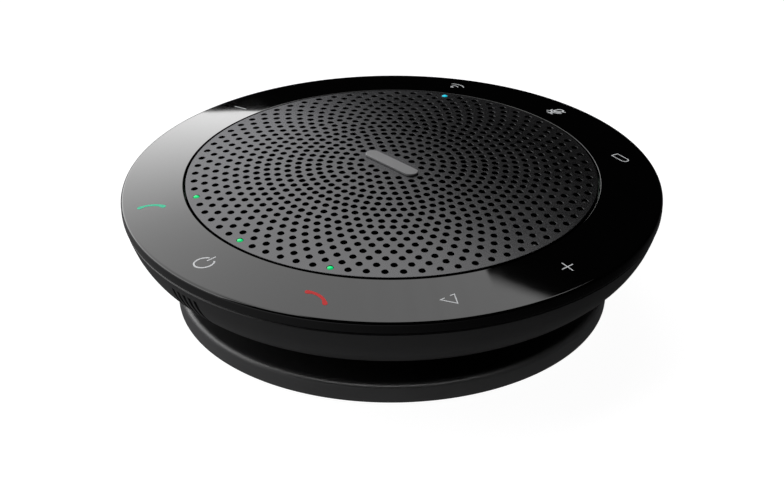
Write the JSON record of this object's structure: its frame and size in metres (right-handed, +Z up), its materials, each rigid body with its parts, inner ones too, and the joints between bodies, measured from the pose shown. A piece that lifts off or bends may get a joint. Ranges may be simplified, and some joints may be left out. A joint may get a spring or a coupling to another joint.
{
  "type": "conference speakerphone",
  "caption": "Round desk speakerphone with a domed perforated grille, a glossy touch-key ring, a ring of status lights and a cord channel round its base.",
  "frame": {"origin": "centre of the resting circle, on the surface that the foot ring stands on", "axes": "+Z up through the middle of the grille; -Y towards the power key and the sound slots, which face the user; +X towards the volume-up key"},
  "size_m": [0.12, 0.12, 0.0328],
  "materials": {
    "gloss_black": "piano black, polished",
    "satin_black": "satin moulded plastic",
    "matte_black": "fine spark-eroded texture",
    "rubber": "matte soft rubber",
    "cloth": "fine black acoustic mesh",
    "clear": "clear polished light pipe",
    "badge_grey": "pale grey, satin",
    "board_green": "solder mask",
    "steel": "zinc plated",
    "ferrite": "sintered, ground faces",
    "copper": "enamelled copper winding",
    "paper": "pressed paper pulp",
    "cell_silver": "foil pouch",
    "lead_red": "sleeved lead"
  },
  "bodies": {
    "housing": {"touch_ring": "gloss_black", "grille": "satin_black", "badge": "badge_grey", "acoustic_cloth": "cloth", "light_guide": "clear", "touch_board": "board_green", "chassis": "matte_black", "driver_frame": "matte_black", "driver_gasket": "rubber", "surround": "rubber", "spider": "cloth", "top_plate": "steel", "magnet": "ferrite", "yoke": "steel", "main_board": "board_green", "shield_can": "steel", "radio_module": "steel", "lead_header": "paper", "battery_cell": "cell_silver", "battery_lead": "lead_red", "microphone_boot": "rubber", "microphone": "steel", "lower_housing": "satin_black", "cable_spool": "matte_black", "cable_gland": "rubber", "base_plate": "matte_black", "foot_ring": "rubber", "driver_screw_1": "steel", "driver_screw_2": "steel", "driver_screw_3": "steel", "driver_screw_4": "steel", "board_screw_1": "steel", "board_screw_2": "steel", "board_screw_3": "steel", "housing_screw_1": "steel", "housing_screw_2": "steel", "housing_screw_3": "steel", "housing_screw_4": "steel", "base_screw_1": "steel", "base_screw_2": "steel", "base_screw_3": "steel", "base_screw_4": "steel"},
    "moving_coil": {"cone": "paper", "dust_cap": "paper", "voice_coil": "copper"}
  },
  "joints": [
    {"name": "cone_travel", "type": "slide", "parent": "housing", "child": "moving_coil", "axis": [0, 0, 1], "range_m": [-0.0012, 0.0012], "stiffness_N_per_m": 900, "deforming": ["surround", "spider"]}
  ]
}
